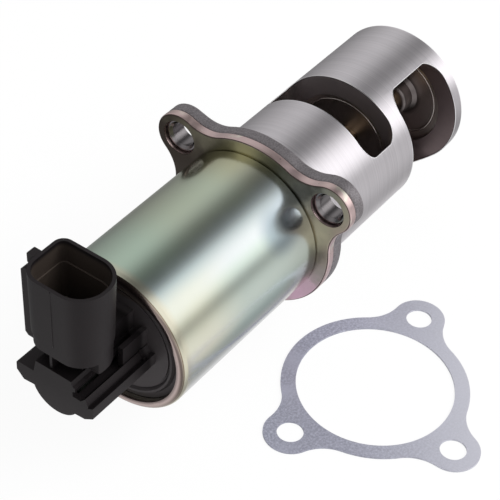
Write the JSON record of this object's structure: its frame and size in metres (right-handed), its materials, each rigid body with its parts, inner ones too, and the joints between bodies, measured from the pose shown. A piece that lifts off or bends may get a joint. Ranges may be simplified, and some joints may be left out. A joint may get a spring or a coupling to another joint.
{
  "type": "egr valve",
  "caption": "Solenoid exhaust gas recirculation valve: lobed flange, windowed nose with a double poppet train, plated can and a moulded cap with sensor and plug socket.",
  "frame": {"origin": "centre of the flange's mounting face, on the valve axis", "axes": "+X along the valve axis towards the gas end; +Z the way the harness plug leaves its socket; +Y completes a right-handed frame"},
  "size_m": [0.1561, 0.112, 0.0669],
  "materials": {
    "machined_steel": "turned bright on the nose, as cast on the flange edge and inside",
    "seat_steel": "ground, heat tinted",
    "guide_bronze": "sintered bronze",
    "seal_rubber": "moulded, matt",
    "plated_steel": "yellow zinc plating, glossy and iridescent",
    "bush_steel": "turned, oiled",
    "core_iron": "turned soft iron",
    "stainless": "ground",
    "bobbin_plastic": "glass-filled, matt",
    "winding_copper": "enamelled copper wire",
    "pin_brass": "tinned brass",
    "spring_steel": "drawn wire",
    "black_plastic": "glass-filled, matt black",
    "sensor_plastic": "natural acetal",
    "track_ceramic": "printed resistor film on a ceramic strip",
    "gasket_steel": "rolled sheet, fine grained"
  },
  "bodies": {
    "valve_body": {"valve_housing": "machined_steel", "nose_end": "machined_steel", "inner_seat_ring": "seat_steel", "outer_seat_ring": "seat_steel", "stem_guide_bush": "guide_bronze", "stem_seal": "seal_rubber", "mounting_plate": "plated_steel", "bolt_bushes": "bush_steel", "magnet_can": "plated_steel", "pole_core": "core_iron", "armature_sleeve": "stainless", "flux_plate": "core_iron", "coil_bobbin": "bobbin_plastic", "coil_winding": "winding_copper", "coil_terminals": "pin_brass", "end_cap": "black_plastic", "cap_seal": "seal_rubber", "connector_pins": "pin_brass", "sensor_guide": "sensor_plastic", "sensor_track": "track_ceramic", "flange_gasket": "gasket_steel"},
    "valve_train": {"valve_stem": "stainless", "inner_valve_disc": "seat_steel", "outer_valve_disc": "seat_steel", "armature": "core_iron", "armature_clip": "stainless", "return_spring": "spring_steel"},
    "sensor_follower": {"sensor_plunger": "sensor_plastic", "sensor_wiper": "pin_brass", "sensor_spring": "spring_steel"}
  },
  "joints": [
    {"name": "valve_lift", "type": "slide", "parent": "valve_body", "child": "valve_train", "axis": [1, 0, 0], "range_m": [0, 0.0055], "stiffness_N_per_m": 4000, "springref_m": -0.004, "deforming": ["return_spring"]},
    {"name": "plunger_slide", "type": "slide", "parent": "valve_body", "child": "sensor_follower", "axis": [1, 0, 0], "range_m": [0, 0.0055], "deforming": ["sensor_spring"]}
  ],
  "couplings": [
    {"joint": "plunger_slide", "follows": "valve_lift", "ratio": 1}
  ]
}
